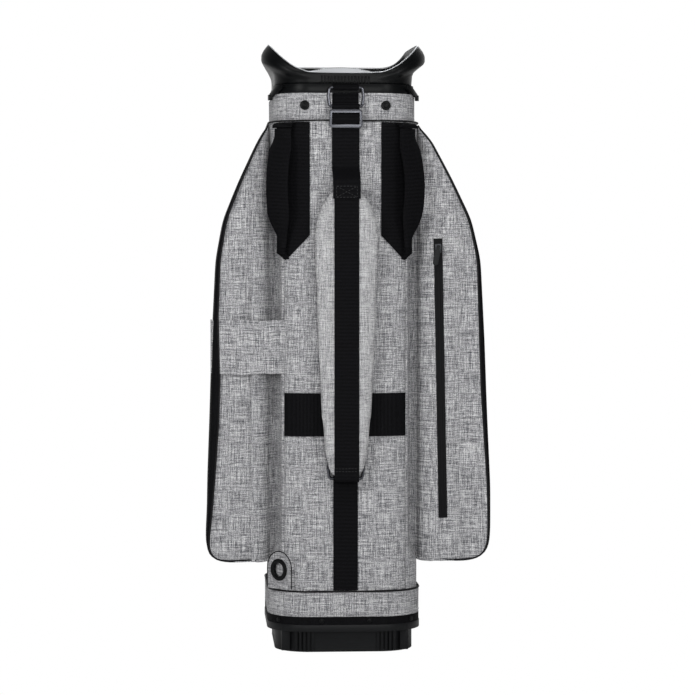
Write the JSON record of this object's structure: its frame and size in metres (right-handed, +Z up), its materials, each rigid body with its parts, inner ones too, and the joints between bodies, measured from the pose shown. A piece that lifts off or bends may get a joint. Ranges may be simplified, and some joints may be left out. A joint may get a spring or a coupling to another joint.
{
  "type": "golf bag",
  "caption": "Upright cart-style golf bag on a moulded base, with a divided top in a winged collar, tall side pockets, padded shoulder strap and lift handles.",
  "frame": {"origin": "middle of the base's underside, on the floor", "axes": "+Z up; -Y out of the spine that carries the strap; +X to the right when the spine is faced"},
  "size_m": [0.4221, 0.3413, 0.8963],
  "materials": {
    "heather_fabric": "matte",
    "pad_fabric": "matte",
    "black_webbing": "matte",
    "black_piping": "satin",
    "black_gusset": "matte",
    "moulded_plastic": "satin",
    "grey_lip": "satin",
    "divider_mesh": "matte",
    "divider_foam": "matte",
    "liner_fabric": "matte",
    "foam_pad": "matte",
    "stay_plastic": "satin",
    "ring_metal": "gloss",
    "buckle_metal": "gloss",
    "zip_nylon": "matte",
    "zip_metal": "satin",
    "zip_pull": "satin"
  },
  "bodies": {
    "bag": {"base_cup": "moulded_plastic", "base_pad": "foam_pad", "base_trim_band": "black_gusset", "base_rivets": "moulded_plastic", "hem_band": "heather_fabric", "hem_piping": "black_piping", "spine_panel": "heather_fabric", "left_side_panel": "heather_fabric", "right_side_panel": "heather_fabric", "front_panel": "heather_fabric", "cuff_band": "heather_fabric", "cuff_piping": "black_piping", "collar_band": "moulded_plastic", "collar_top": "moulded_plastic", "collar_lip": "grey_lip", "collar_ribs": "moulded_plastic", "collar_clips": "moulded_plastic", "hood_studs": "moulded_plastic", "divider_cross_bars": "divider_mesh", "divider_short_bars": "divider_foam", "divider_cross_walls": "liner_fabric", "divider_short_walls": "liner_fabric", "stay_rods": "stay_plastic", "ring_backing": "black_webbing", "top_ring_keeper": "black_webbing", "lower_ring_keeper": "black_webbing", "cross_webbing": "black_webbing", "spine_webbing": "black_webbing", "left_handle_anchors": "black_webbing", "right_handle_anchors": "black_webbing", "left_side_pocket": "heather_fabric", "left_pocket_gusset": "black_gusset", "right_side_pocket": "heather_fabric", "right_pocket_gusset": "black_gusset", "umbrella_band": "heather_fabric", "umbrella_tab": "heather_fabric", "umbrella_eyelet": "moulded_plastic", "front_ball_pocket": "heather_fabric", "front_upper_pocket": "heather_fabric", "right_zip_chain": "zip_nylon", "left_zip_chain": "zip_nylon", "ball_zip_chain": "zip_nylon", "upper_zip_chain": "zip_nylon"},
    "top_ring": {"top_ring": "ring_metal"},
    "strap": {"strap_webbing": "black_webbing", "shoulder_pad": "pad_fabric", "pad_webbing": "black_webbing"},
    "lower_ring": {"lower_ring": "ring_metal"},
    "buckle": {"strap_buckle": "buckle_metal", "buckle_fold": "black_webbing"},
    "left_handle": {"left_handle": "black_webbing"},
    "right_handle": {"right_handle": "black_webbing"},
    "right_slider": {"right_zip_slider": "zip_metal"},
    "right_puller": {"right_zip_puller": "zip_pull"},
    "left_slider": {"left_zip_slider": "zip_metal"},
    "left_puller": {"left_zip_puller": "zip_pull"},
    "ball_slider": {"ball_zip_slider": "zip_metal"},
    "ball_puller": {"ball_zip_puller": "zip_pull"},
    "upper_slider": {"upper_zip_slider": "zip_metal"},
    "upper_puller": {"upper_zip_puller": "zip_pull"}
  },
  "joints": [
    {"name": "top_ring_swing", "type": "hinge", "parent": "bag", "child": "top_ring", "pos_m": [0, -0.1322, 0.824], "axis": [-1, 0, 0], "range_deg": [0, 50]},
    {"name": "strap_hang", "type": "hinge", "parent": "top_ring", "child": "strap", "pos_m": [0, -0.1322, 0.797], "axis": [-1, 0, 0], "range_deg": [-50, 0]},
    {"name": "lower_ring_swing", "type": "hinge", "parent": "bag", "child": "lower_ring", "pos_m": [0, -0.1322, 0.283], "axis": [-1, 0, 0], "range_deg": [0, 50]},
    {"name": "buckle_slide", "type": "slide", "parent": "strap", "child": "buckle", "axis": [0, 0, -1], "range_m": [0, 0.045]},
    {"name": "left_handle_swing", "type": "hinge", "parent": "bag", "child": "left_handle", "pos_m": [-0.08938, -0.1192, 0.678], "axis": [0, 0, 1], "range_deg": [-25, 25]},
    {"name": "right_handle_swing", "type": "hinge", "parent": "bag", "child": "right_handle", "pos_m": [0.08938, -0.1192, 0.678], "axis": [0, 0, 1], "range_deg": [-25, 25]},
    {"name": "right_zip_slide", "type": "slide", "parent": "bag", "child": "right_slider", "axis": [0.0192, 0, -0.9998], "range_m": [0, 0.382]},
    {"name": "right_puller_swing", "type": "hinge", "parent": "right_slider", "child": "right_puller", "pos_m": [0.13823, -0.1034, 0.594], "axis": [-0.982, 0, 0.1891], "range_deg": [0, 120]},
    {"name": "left_zip_slide", "type": "slide", "parent": "bag", "child": "left_slider", "axis": [0, 0, -1], "range_m": [0, 0.322]},
    {"name": "left_puller_swing", "type": "hinge", "parent": "left_slider", "child": "left_puller", "pos_m": [-0.155, 0.0694, 0.564], "axis": [0.9781, 0, 0.2079], "range_deg": [0, 120]},
    {"name": "ball_zip_slide", "type": "slide", "parent": "bag", "child": "ball_slider", "axis": [0, 0, -1], "range_m": [0, 0.192]},
    {"name": "ball_puller_swing", "type": "hinge", "parent": "ball_slider", "child": "ball_puller", "pos_m": [0.059, 0.1804, 0.366], "axis": [0.9781, 0, 0.2079], "range_deg": [0, 120]},
    {"name": "upper_zip_slide", "type": "slide", "parent": "bag", "child": "upper_slider", "axis": [0, 0, -1], "range_m": [0, 0.132]},
    {"name": "upper_puller_swing", "type": "hinge", "parent": "upper_slider", "child": "upper_puller", "pos_m": [0.049, 0.1664, 0.636], "axis": [0.9781, 0, 0.2079], "range_deg": [0, 120]}
  ],
  "couplings": [
    {"joint": "strap_hang", "follows": "top_ring_swing", "ratio": -1},
    {"joint": "lower_ring_swing", "follows": "top_ring_swing", "ratio": 1}
  ]
}
